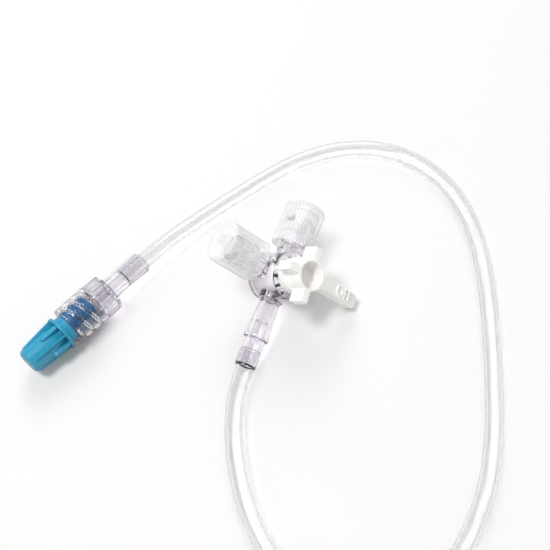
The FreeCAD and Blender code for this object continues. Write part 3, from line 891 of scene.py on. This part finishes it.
@dataclass
class Tap:
    """The white tap: plug and column, open hub, three short arms and the long OFF arm."""

    stand: Stand
    plug: float = 0.0042
    plug_taper: float = 0.03
    fit: float = 0.00003
    barrel_top: float = 0.005
    foot: float = -0.0047
    snap_low: float = -0.0046
    snap_high: float = -0.0038
    snap_rise: float = 0.0002
    column_top: float = 0.0078
    hub: float = 0.00375
    hub_end: float = 0.0122
    hub_bore: float = 0.00305
    hub_floor: float = 0.008
    foot_bore: float = 0.0026
    foot_floor: float = -0.0019
    way: float = 0.001
    arm_start: float = 0.0034
    arm_reach: float = 0.0067
    arm_width: float = 0.0023
    off_reach: float = 0.0173
    off_width: float = 0.0034
    off_tip: tuple[float, float] = (0.00558, 0.0088)
    letter_height: float = 0.0027
    letter_rise: float = 0.0003
    letter_middle: float = 0.0118
    letter_bevel: float = 0.00008
    size_over_capitals: float = 1.35
    core_rounding: float = 0.0002
    around: int = 128
    way_around: int = 48
    arm_steps: int = 64

    def seat(self, height: float) -> float:
        """Radius of the plug at a height."""
        return self.plug - self.fit - self.plug_taper * (self.barrel_top - height)

    def arm(self, name: str, heading: float, reach: float, width: float,
            tip: tuple[float, float] | None = None) -> bpy.types.Object:
        """One arm as a rounded bar, level with the hub's end at its root.

        Its section is the superellipse |y/a|^8 + |z/b|^8 = 1, and both a and b shrink as
        (1 - (2u - 1)^32)^(1/8) with the share u of the length, which rounds the two ends.

        Args:
            name: The form's name.
            heading: Direction of the arm about the tap's axis, in radians.
            reach: Distance of the tip from the axis.
            width: Width of the bar.
            tip: Heights of the underside and the top at the tip, where they differ from the root.

        Returns:
            The object.
        """
        share = 0.5 - 0.5 * np.cos(np.linspace(0, math.pi, self.arm_steps + 1))
        swell = (1 - np.abs(2 * share - 1) ** 32) ** (1 / 8)
        angle = np.linspace(0, 2 * math.pi, self.arm_steps, endpoint=False)[:, None]
        low, high = tip or (self.column_top, self.hub_end)
        low = self.column_top + (low - self.column_top) * share
        high = self.hub_end + (high - self.hub_end) * share
        across = width / 2 * swell * np.sign(np.cos(angle)) * np.abs(np.cos(angle)) ** (1 / 4)
        rise = (high - low) / 2 * swell * np.sign(np.sin(angle)) * np.abs(np.sin(angle)) ** (1 / 4)
        along = np.broadcast_to(self.arm_start + (reach - self.arm_start) * share, across.shape)
        points = np.stack([along, across, (high + low) / 2 + rise], axis=-1)
        number = np.arange(across.size).reshape(across.shape)
        nearer, further = number[:, :-1], number[:, 1:]
        faces = np.stack([nearer, further, np.roll(further, -1, axis=0), np.roll(nearer, -1, axis=0)],
                         axis=-1)
        stand = self.stand.rolled(heading)
        return mesh_piece(name, stand.carry(points.reshape(-1, 3)), faces.reshape(-1, 4))

    def letters(self) -> bpy.types.Object:
        """The raised word on the long arm, made a mesh and laid on the arm's sloping top.

        Returns:
            The word, as one piece.
        """
        text = bpy.data.curves.new("off_word", "FONT")
        text.body = "OFF"
        text.size = self.letter_height * self.size_over_capitals
        text.extrude = self.letter_rise
        text.bevel_depth = self.letter_bevel
        text.align_x = "CENTER"
        text.align_y = "CENTER"
        holder = bpy.data.objects.new("off_word", text)
        bpy.context.scene.collection.objects.link(holder)
        mesh = bpy.data.meshes.new_from_object(holder.evaluated_get(bpy.context.evaluated_depsgraph_get()))
        bpy.data.objects.remove(holder)
        points = np.empty(len(mesh.vertices) * 3)
        mesh.vertices.foreach_get("co", points)
        fall = (self.off_tip[1] - self.hub_end) / (self.off_reach - self.arm_start)
        along = np.array([1.0, 0.0, fall]) / math.hypot(1.0, fall)
        across = np.array([0.0, 1.0, 0.0])
        middle_height = self.hub_end + fall * (self.letter_middle - self.arm_start)
        slope = Stand(np.array([self.letter_middle, 0.0, middle_height]),
                      np.array([along, across, np.cross(along, across)]))
        mesh.vertices.foreach_set("co", self.stand.carry(slope.carry(points.reshape(-1, 3))).ravel())
        piece = bpy.data.objects.new("off_letters", mesh)
        bpy.context.scene.collection.objects.link(piece)
        cleaned(mesh)
        return piece

    def core(self) -> bpy.types.Object:
        """Plug with its snap ring and hollow foot, column, and the open hub, turned as one.

        Returns:
            The turned part of the tap.
        """
        low, high = self.seat(self.snap_low), self.seat(self.snap_high)
        ring_start, ring_end = self.snap_low + self.fit, self.snap_high - self.fit
        return turned("core", self.stand, [
            (self.foot_bore, self.foot), (self.seat(self.foot), self.foot), (low, ring_start),
            (low + self.snap_rise, ring_start), (high + self.snap_rise, ring_end), (high, ring_end),
            (self.seat(self.barrel_top), self.barrel_top), (self.plug - self.fit, self.column_top),
            (self.hub, self.column_top), (self.hub, self.hub_end), (self.hub_bore, self.hub_end),
            (self.hub_bore, self.hub_floor), (0, self.hub_floor), (0, self.foot_floor),
            (self.foot_bore, self.foot_floor)], self.core_rounding, self.around)

    def build(self, finish: bpy.types.Material) -> bpy.types.Object:
        """Makes and dresses the tap and its letters.

        Args:
            finish: The tap's material.

        Returns:
            The tap.
        """
        arms = [self.arm("inline_arm", math.pi / 2, self.arm_reach, self.arm_width),
                self.arm("side_arm", math.pi, self.arm_reach, self.arm_width),
                self.arm("outlet_arm", -math.pi / 2, self.arm_reach, self.arm_width),
                self.arm("off_arm", 0.0, self.off_reach, self.off_width, self.off_tip)]
        reach = self.plug + PAST
        through = turned("through", self.stand.facing((1, 0, 0), (0, 1, 0)),
                         [(0, -reach), (self.way, -reach), (self.way, reach), (0, reach)], HAIR,
                         self.way_around)
        branch = turned("branch", self.stand.facing((0, 0, 1), (-1, 0, 0)),
                        [(0, 0), (self.way, 0), (self.way, reach), (0, reach)], HAIR, self.way_around)
        blank = combined("blank", self.core(), arms, Join.ADD)
        tap = combined("tap_handle", blank, [through, branch], Join.CUT)
        dress(tap, finish, "tap", "white_tap", "tap")
        letters = self.letters()
        dress(letters, finish, "tap", "white_tap")
        return tap


@dataclass
class PortCap:
    """A frosted luer cap: fluted cup, rounded end with a recess, and a hollow cone inside."""

    name: str
    node: str
    body: str
    stand: Stand
    start: float = 0.0076
    length: float = 0.011
    radius: float = 0.00505
    cavity: float = 0.0041
    wall: float = 0.0017
    recess: float = 0.0013
    recess_depth: float = 0.007
    cone_length: float = 0.009
    flutes: int = 40
    flute_depth: float = 0.00022
    flute_stop: float = 0.0016
    mouth: float = 0.002115
    slope: float = 0.03
    port_reach: float = 0.0148
    thread_rise: float = 0.0003
    thread_pitch: float = 0.00254
    thread_inset: float = 0.0012
    thread_stop: float = 0.0018
    thread_fade: float = 0.0006
    flute_fade: float = 0.0004
    skin: float = 0.0005
    corner: float = 0.0002
    end_radius: float = 0.001
    longest_edge: float = 0.00022
    points_a_flute: int = 8
    end_steps: int = 8

    def relief(self, angle: Array, radius: Array, height: Array) -> Array:
        """Flutes outside and a double thread inside.

        Outside the radius drops by depth (1/2 - cos(n a) / 2); inside it drops by the thread's
        rise where cos(2 pi z / pitch - 2 a) is near 1.

        Args:
            angle: Angle of each point about the axis.
            radius: Its radius without relief.
            height: Its height along the axis.

        Returns:
            The radius with relief.
        """
        end = self.start + self.length
        outside = window(height, self.start, end - self.flute_stop, self.flute_fade)
        outside = outside * (radius > self.cavity + self.skin)
        flute = self.flute_depth * (0.5 - 0.5 * np.cos(self.flutes * angle)) * outside
        bore = window(height, self.start + self.thread_inset, end - self.wall - self.thread_stop,
                      self.thread_fade) * (np.abs(radius - self.cavity) < NEAR)
        wave = np.cos(2 * math.pi * height / self.thread_pitch - 2 * angle)
        return radius - flute - self.thread_rise * ramp(wave, 0.5, 0.95) * bore

    def build(self, finish: bpy.types.Material) -> bpy.types.Object:
        """Makes and dresses the cap.

        Args:
            finish: The cap's material.

        Returns:
            The cap.
        """
        end = self.start + self.length
        floor = end - self.wall
        tip = floor - self.cone_length
        corners = [(0, end - self.recess_depth), (0, tip),
                   (self.mouth - self.slope * (self.port_reach - tip), tip),
                   (self.mouth + self.slope * (floor - self.port_reach), floor),
                   (self.cavity, floor), (self.cavity, self.start), (self.radius, self.start),
                   (self.radius, end), (self.recess, end), (self.recess, end - self.recess_depth)]
        section = self.rounded_end(softened(corners, self.corner), end)
        around = self.flutes * self.points_a_flute
        points, faces = revolved(divided(section, self.longest_edge), around, self.relief)
        cap = mesh_piece(self.name, self.stand.carry(points), faces)
        dress(cap, finish, self.body, "frosted_cap", self.node)
        return cap

    def rounded_end(self, section: Array, end: float) -> Array:
        """The section with its outer end corner drawn in along a quarter circle.

        Args:
            section: Radius and height of the cap's section.
            end: Height of the cap's end.

        Returns:
            The section with the arc in place of the corner's points.
        """
        reach = self.end_radius
        close = np.linalg.norm(section - np.array([self.radius, end]), axis=1) < 2 * self.corner
        first = int(np.argmax(close))
        angle = np.linspace(0, math.pi / 2, self.end_steps + 1)
        arc = np.column_stack([self.radius - reach + reach * np.cos(angle),
                               end - reach + reach * np.sin(angle)])
        return np.vstack([section[:first], arc, section[first + int(close.sum()):]])


@dataclass
class Adapter:
    """The clear sleeve that takes the tube. Its spigot is welded into the outlet arm by solvent, so
    it can't be told from the arm there and the arm's mesh stands for both. The tube is welded in
    too: the two meshes overlap by 0.01 mm, so that no air shows between them."""

    stand: Stand
    shoulder: float = 0.01641
    seat: float = 0.0192
    end: float = 0.0232
    radius: float = 0.00248
    tube: float = 0.00204
    bore: float = 0.0015
    # Length of the band at the end that takes painted shade.
    shaded_end_band: float = 0.0004
    rounding: float = 0.00012

    def build(self, finish: bpy.types.Material, painted_end_shade: bpy.types.Material) -> bpy.types.Object:
        """Makes and dresses the adapter, with painted shade on the band at its end.

        Args:
            finish: The adapter's material.
            painted_end_shade: The dark material that paints shade on its end.

        Returns:
            The adapter.
        """
        piece = turned("adapter", self.stand, [
            (self.bore, self.shoulder), (self.radius, self.shoulder),
            (self.radius, self.end - self.shaded_end_band), (self.radius, self.end),
            (self.tube, self.end), (self.tube, self.seat), (self.bore, self.seat)], self.rounding)
        dress(piece, finish, "set", "clear_body", "tube_adapter")
        height, _ = face_places(piece, self.stand)
        # The band at the end takes the dark material: painted shade.
        dress_part(piece, painted_end_shade, height > self.end - self.shaded_end_band)
        return piece


# The far connector: male luer, locking collar and protective cap

@dataclass
class MaleLuer:
    """The clear connector: socket with two side fins, flange and tapered luer. Its socket overlaps
    the tube by 0.01 mm, as a welded joint shows no air between the two."""

    stand: Stand
    stem: float = 0.00245
    waist: float = 0.0022
    length: float = 0.011
    fin: float = 0.0029
    fin_thickness: float = 0.0006
    fin_start: float = 0.0004
    fin_end: float = 0.0105
    shaft: float = 0.0023
    flange: float = 0.0034
    flange_start: float = 0.01545
    flange_length: float = 0.0009
    tip: float = 0.001975
    slope: float = 0.03
    end: float = 0.0257
    way: float = 0.0011
    tube: float = 0.00204
    socket: float = 0.006
    fin_edge: float = 0.00006
    fin_fade: float = 0.0001
    step_length: float = 0.0005
    end_margin: float = 0.0004
    end_facing: float = 0.4
    rounding: float = 0.00015
    longest_edge: float = 0.0003
    around: int = 288

    def fins(self, angle: Array, radius: Array, height: Array) -> Array:
        """Two side fins: where the wall is within half a fin's thickness of the X axis, the radius
        goes out to the fin.

        Args:
            angle: Angle of each point about the axis.
            radius: Its radius without relief.
            height: Its height along the axis.

        Returns:
            The radius with relief.
        """
        across, half = np.abs(np.sin(angle)) * radius, self.fin_thickness / 2
        share = 1 - ramp(across, half - self.fin_edge, half + self.fin_edge)
        share = share * window(height, self.fin_start, self.fin_end, self.fin_fade)
        share = share * (radius > self.tube + self.fin_fade)
        return radius + np.maximum(self.fin - radius, 0) * share

    def build(self, finish: bpy.types.Material, painted_end_shade: bpy.types.Material) -> bpy.types.Object:
        """Makes and dresses the connector, with painted shade on its ends and its fins' ends.

        Args:
            finish: The connector's material.
            painted_end_shade: The dark material that paints shade on its ends.

        Returns:
            The connector.
        """
        flange_end = self.flange_start + self.flange_length
        corners = [(self.tube, 0), (self.stem, 0), (self.waist, self.length - self.step_length),
                   (self.shaft, self.length), (self.shaft, self.flange_start),
                   (self.flange, self.flange_start), (self.flange, flange_end),
                   (self.tip + self.slope * (self.end - flange_end), flange_end), (self.tip, self.end),
                   (self.way, self.end), (self.way, self.socket), (self.tube, self.socket)]
        piece = turned("male_connector", self.stand, corners, self.rounding, self.around, self.fins,
                       self.longest_edge)
        dress(piece, finish, "set", "clear_luer", "male_luer")
        height, outward = face_places(piece, self.stand)
        # Faces of the ends and the fins' ends that look along the axis take the dark material: painted
        # shade.
        dress_part(piece, painted_end_shade, (height < self.length - self.end_margin)
                   & (np.abs(outward) > self.end_facing))
        return piece


@dataclass
class LockingCollar:
    """The clear collar: ribbed grip behind, plain in front, double-start thread inside."""

    stand: Stand
    start: float = 0.011
    end: float = 0.0236
    grip_end: float = 0.0149
    grip: float = 0.00445
    radius: float = 0.00495
    bore: float = 0.0041
    floor: float = 0.0154
    hole: float = 0.00235
    step: float = 0.0005
    ribs: int = 16
    rib_width: float = 0.0007
    rib_rise: float = 0.00035
    thread_rise: float = 0.0005
    thread_pitch: float = 0.00254
    thread_start: float = 0.0168
    thread_end: float = 0.0228
    thread_fade: float = 0.0006
    rib_edge: float = 0.00012
    rib_inset: float = 0.0002
    rib_fade: float = 0.0003
    skin: float = 0.00015
    near: float = 0.00006
    rounding: float = 0.00018
    longest_edge: float = 0.00018
    around: int = 288

    def relief(self, angle: Array, radius: Array, height: Array) -> Array:
        """Grip ribs outside and the thread inside.

        A rib stands where the wall is within half its width of one of the equal divisions. The
        thread's ridge stands where cos(2 pi z / pitch - 2 a) is near 1, which is two starts.

        Args:
            angle: Angle of each point about the axis.
            radius: Its radius without relief.
            height: Its height along the axis.

        Returns:
            The radius with relief.
        """
        off_rib = np.abs(nearest_turn(angle, self.ribs)) * radius
        rib = 1 - ramp(off_rib, self.rib_width / 2 - self.rib_edge, self.rib_width / 2 + self.rib_edge)
        outside = window(height, self.start + self.rib_inset, self.grip_end, self.rib_fade)
        outside = outside * (radius > self.bore + self.skin)
        wave = np.cos(2 * math.pi * height / self.thread_pitch - 2 * angle)
        ridge = window(height, self.thread_start, self.thread_end, self.thread_fade)
        ridge = ridge * ramp(wave, 0.45, 0.95)
        inside = np.abs(radius - self.bore) < self.near
        return radius + self.rib_rise * rib * outside - self.thread_rise * ridge * inside

    def build(self, finish: bpy.types.Material) -> bpy.types.Object:
        """Makes and dresses the collar.

        Args:
            finish: The collar's material.

        Returns:
            The collar.
        """
        corners = [(self.hole, self.start), (self.grip, self.start), (self.grip, self.grip_end),
                   (self.radius, self.grip_end + self.step), (self.radius, self.end), (self.bore, self.end),
                   (self.bore, self.floor), (self.hole, self.floor)]
        piece = turned("threaded_collar", self.stand, corners, self.rounding, self.around, self.relief,
                       self.longest_edge)
        dress(piece, finish, "collar", "clear_luer", "locking_collar")
        return piece


@dataclass
class LuerCap:
    """The teal protective cap: skirt in the collar, flange, four keys and four ribs."""

    stand: Stand
    skirt_start: float = 0.01685
    skirt: float = 0.00345
    skirt_bore: float = 0.00226
    flange_start: float = 0.0254
    flange_end: float = 0.0262
    flange: float = 0.0043
    root: float = 0.00325
    nose: float = 0.0031
    tip: float = 0.0359
    edge: float = 0.0006
    bore: float = 0.001995
    luer_end: float = 0.0257
    bore_end: float = 0.0263
    key_width: float = 0.0011
    key_rise: float = 0.0006
    key_length: float = 0.0039
    rib_width: float = 0.0006
    rib_rise: float = 0.0009
    rib_tip_rise: float = 0.0003
    rib_margin: float = 0.001
    lug_pitch: float = 0.00254
    # Where the collar's painted shade on the skirt stops.
    collar_shade_end: float = 0.0238
    waist: float = 0.0008
    waist_length: float = 0.0032
    key_edge: float = 0.00012
    rib_edge: float = 0.0001
    rib_fade: float = 0.0003
    lug_rise: float = 0.00025
    lug_inset: float = 0.0008
    lug_stop: float = 0.0016
    lug_fade: float = 0.0005
    near: float = 0.00002
    rounding: float = 0.00018
    longest_edge: float = 0.0002
    around: int = 320
    ribs: int = 4

    def relief(self, angle: Array, radius: Array, height: Array) -> Array:
        """Keys, ribs and the skirt's lugs.

        Short keys stand at odd eighths of a turn up to a rounded end, whose height drops with the
        circle of half their width; long ribs stand at even eighths and fall towards the tip. Between
        them the nose draws in to a waist at the flange. On the skirt two short threads rise.

        Args:
            angle: Angle of each point about the axis.
            radius: Its radius without relief.
            height: Its height along the axis.

        Returns:
            The radius with relief.
        """
        outside = radius > self.edge_line(height) - self.near
        nose = (height > self.flange_end) * outside
        off_key = np.abs(nearest_turn(angle, self.ribs, math.pi / self.ribs)) * self.root
        beyond = np.maximum(height - self.flange_end - self.key_length, 0)
        key = 1 - ramp(np.hypot(off_key, beyond), self.key_width / 2 - self.key_edge,
                       self.key_width / 2 + self.key_edge)
        off_rib = np.abs(nearest_turn(angle, self.ribs)) * self.root
        rib = 1 - ramp(off_rib, self.rib_width / 2 - self.rib_edge, self.rib_width / 2 + self.rib_edge)
        rib_stop = self.tip - self.rib_margin
        rib = rib * (1 - ramp(height, rib_stop - self.rib_fade, rib_stop))
        share = np.clip((height - self.flange_end) / (rib_stop - self.flange_end), 0, 1)
        crest = (self.root + self.rib_rise) * (1 - share) + (self.nose + self.rib_tip_rise) * share
        high = np.maximum((self.root + self.key_rise - radius) * key, (crest - radius) * rib)
        drawn_in = 1 - ramp(height, self.flange_end, self.flange_end + self.waist_length)
        high = high - self.waist * drawn_in * (1 - key) * (1 - rib)
        wave = np.cos(2 * math.pi * height / self.lug_pitch - 2 * angle)
        skirt = np.abs(radius - self.skirt) < NEAR
        lug = window(height, self.skirt_start + self.lug_inset, self.flange_start - self.lug_stop,
                     self.lug_fade) * ramp(-wave, 0.6, 0.95)
        return radius + high * nose + self.lug_rise * lug * skirt

    def edge_line(self, height: Array) -> Array:
        """Outer radius of the nose at each height, which narrows evenly from root to tip."""
        share = np.clip((height - self.flange_end) / (self.tip - self.edge - self.flange_end), 0, 1)
        return self.root + (self.nose - self.root) * share

    def build(self, finish: bpy.types.Material, skirt_painted_shade: bpy.types.Material) -> bpy.types.Object:
        """Makes and dresses the cap, with the collar's shade painted on its skirt.

        Args:
            finish: The cap's material.
            skirt_painted_shade: The darker material that paints the collar's shade on its skirt.

        Returns:
            The cap.
        """
        corners = [(0, self.bore_end), (self.bore, self.bore_end), (self.bore, self.luer_end),
                   (self.skirt_bore, self.skirt_start), (self.skirt, self.skirt_start),
                   (self.skirt, self.flange_start), (self.flange, self.flange_start),
                   (self.flange, self.flange_end), (self.root, self.flange_end),
                   (self.nose, self.tip - self.edge), (self.nose - self.edge, self.tip), (0, self.tip)]
        piece = turned("teal_cap", self.stand, corners, self.rounding, self.around, self.relief,
                       self.longest_edge)
        dress(piece, finish, "shield", "teal_cap", "luer_cap")
        height, _ = face_places(piece, self.stand)
        # The faces inside the collar take the darker material: painted shade of the collar on the skirt.
        dress_part(piece, skirt_painted_shade, height < self.collar_shade_end)
        return piece


# Camera, floor and light

@dataclass
class Camera:
    """The photograph's viewpoint: a long lens, 60 degrees above the floor."""

    azimuth: float = 20.9
    elevation: float = 60.0
    distance: float = 0.2028
    focus: tuple[float, float, float] = (-0.00403, 0.00616, 0.0)
    focal_pixels: float = 814.3

    def build(self) -> None:
        """Places the camera: back from its focus along (sin a cos e, -cos a cos e, sin e)."""
        a, e = math.radians(self.azimuth), math.radians(self.elevation)
        back = np.array([math.sin(a) * math.cos(e), -math.cos(a) * math.cos(e), math.sin(e)])
        data = bpy.data.cameras.new("camera")
        data.sensor_width = SENSOR * 1000
        data.lens = self.focal_pixels / IMAGE_SIDE * SENSOR * 1000
        data.clip_start = 0.01
        camera = bpy.data.objects.new("camera", data)
        camera.location = np.array(self.focus) + back * self.distance
        camera.rotation_euler = (math.pi / 2 - e, 0.0, a)
        bpy.context.scene.collection.objects.link(camera)
        bpy.context.scene.camera = camera


@dataclass
class Studio:
    """A white sweep under a white tent, with one lamp nearly overhead and one at the upper left."""

    floor_side: float = 6.0
    floor_colour: str = "#E0DFDE"
    lift: float = 0.04
    key_place: tuple[float, float, float] = (-0.36, -0.27, 1.25)
    key_side: float = 0.34
    key_power: float = 10.5
    key_shine: float = 0.2
    fill_place: tuple[float, float, float] = (-0.5, 1.0, 0.85)
    fill_side: float = 0.7
    fill_power: float = 7.0
    fill_shine: float = 0.7
    tent: str = "#FFFFFF"
    tent_strength: float = 0.53
    ceiling: str = "#3C3549"
    ceiling_start: float = 0.2
    ceiling_full: float = 0.45

    def floor(self) -> None:
        """The floor: matt white paper. What looks at it directly, or through clear plastic, also
        gets a plain lift to white, so the lamps need not."""
        half = self.floor_side / 2
        corners = np.array([[-half, -half, 0], [half, -half, 0], [half, half, 0], [-half, half, 0]])
        mesh = bpy.data.meshes.new("floor")
        mesh.from_pydata(corners, [], [(0, 1, 2, 3)])
        floor = bpy.data.objects.new("floor", mesh)
        bpy.context.scene.collection.objects.link(floor)
        material = bpy.data.materials.new("studio_paper")
        material.use_nodes = True
        tree = material.node_tree
        tree.nodes.clear()
        ray = add_node(tree, "ShaderNodeLightPath")
        seen = add_node(tree, "ShaderNodeMath", {"operation": "MAXIMUM"},
                        links={0: ray.outputs["Is Camera Ray"], 1: ray.outputs["Is Glossy Ray"]})
        seen = add_node(tree, "ShaderNodeMath", {"operation": "MAXIMUM"},
                        links={0: seen.outputs[0], 1: ray.outputs["Is Transmission Ray"]})
        lift = add_node(tree, "ShaderNodeMath", {"operation": "MULTIPLY"}, {1: self.lift},
                        {0: seen.outputs[0]})
        paper = add_node(tree, "ShaderNodeBsdfDiffuse", values={"Color": linear(self.floor_colour)})
        glow = add_node(tree, "ShaderNodeEmission", links={"Strength": lift.outputs[0]})
        both = add_node(tree, "ShaderNodeAddShader", links={0: paper.outputs["BSDF"], 1: glow.outputs[0]})
        add_node(tree, "ShaderNodeOutputMaterial", links={"Surface": both.outputs[0]})
        mesh.materials.append(material)

    def lamp(self, name: str, place: tuple[float, float, float], side: float, power: float,
             shine: float) -> None:
        """One square soft box that looks at the part.

        Args:
            name: The lamp's name.
            place: Where it stands.
            side: Its side.
            power: Its power in watts.
            shine: How strongly it shows as a highlight.
        """
        data = bpy.data.lights.new(name, "AREA")
        data.size = side
        data.energy = power
        data.specular_factor = shine
        lamp = bpy.data.objects.new(name, data)
        lamp.location = place
        away = np.array(place) / np.linalg.norm(place)
        lamp.rotation_euler = (math.acos(away[2]), 0.0, math.atan2(away[1], away[0]) + math.pi / 2)
        bpy.context.scene.collection.objects.link(lamp)

    def world(self) -> None:
        """The tent: plain white light on the part; what mirrors or looks through clear plastic sees
        it white near the floor and dark overhead, where the camera stands."""
        world = bpy.data.worlds.new("tent")
        bpy.context.scene.world = world
        world.use_nodes = True
        tree = world.node_tree
        tree.nodes.clear()
        direction = add_node(tree, "ShaderNodeTexCoord").outputs["Generated"]
        up = add_node(tree, "ShaderNodeSeparateXYZ", links={"Vector": direction}).outputs["Z"]
        share = add_node(tree, "ShaderNodeMapRange", {"interpolation_type": "SMOOTHSTEP"},
                         {"From Min": self.ceiling_start, "From Max": self.ceiling_full}, {"Value": up})
        seen = add_node(tree, "ShaderNodeMix", {"data_type": "RGBA"},
                        {"A": linear(self.tent), "B": linear(self.ceiling)},
                        {"Factor": share.outputs["Result"]})
        lit = add_node(tree, "ShaderNodeBackground",
                       values={"Color": linear(self.tent), "Strength": self.tent_strength})
        mirrored = add_node(tree, "ShaderNodeBackground", values={"Strength": 1.0},
                            links={"Color": seen.outputs["Result"]})
        path = add_node(tree, "ShaderNodeLightPath")
        clear = add_node(tree, "ShaderNodeMath", {"operation": "MAXIMUM"},
                         links={0: path.outputs["Is Transmission Ray"], 1: path.outputs["Is Glossy Ray"]})
        both = add_node(tree, "ShaderNodeMixShader",
                        links={0: clear.outputs[0], 1: lit.outputs[0], 2: mirrored.outputs[0]})
        add_node(tree, "ShaderNodeOutputWorld", links={"Surface": both.outputs[0]})

    def build(self) -> None:
        """Makes the floor, the lamps and the tent."""
        bpy.context.scene.view_settings.view_transform = "Standard"
        self.floor()
        self.lamp("key", self.key_place, self.key_side, self.key_power, self.key_shine)
        self.lamp("fill", self.fill_place, self.fill_side, self.fill_power, self.fill_shine)
        self.world()


def main() -> None:
    """Builds the scene: camera, tube, stopcock, connector and studio."""
    logging.basicConfig(level=logging.INFO, format="%(message)s")
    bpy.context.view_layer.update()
    Camera().build()
    clear_body, clear_luer, end_shade = CLEAR_BODY.build(), CLEAR_LUER.build(), CLEAR_END_SHADE.build()
    clear_sleeve, frosted, white = CLEAR_SLEEVE.build(), FROSTED.build(), WHITE.build()
    stopcock, connector = stopcock_stand(), connector_stand()
    inline, side = stopcock.facing((1, 0, 0), (0, 1, 0)), stopcock.facing((0, 0, 1), (-1, 0, 0))
    outlet = stopcock.facing((1, 0, 0), (0, -1, 0))
    tube, path = Tube().build(CLEAR_TUBE.build())
    ends = [MaleLuer(connector.rolled(FIN_ROLL)).build(clear_sleeve, end_shade),
            LockingCollar(connector).build(clear_luer),
            LuerCap(connector.rolled(KEY_ROLL)).build(TEAL.build(), TEAL_COLLAR_SHADE.build())]
    outlet.carry(np.array([0.0, 0.0, Adapter.end]))
    StopcockBody(stopcock).build(clear_body)
    Tap(stopcock.rolled(TAP_TURN)).build(white)
    PortCap("inline_cap", "inline_port_cap", "inline_cap", inline).build(frosted)
    PortCap("side_cap", "side_port_cap", "side_cap", side).build(frosted)
    Adapter(outlet).build(clear_sleeve, end_shade)
    Studio().build()


if __name__ == "__main__":
    main()
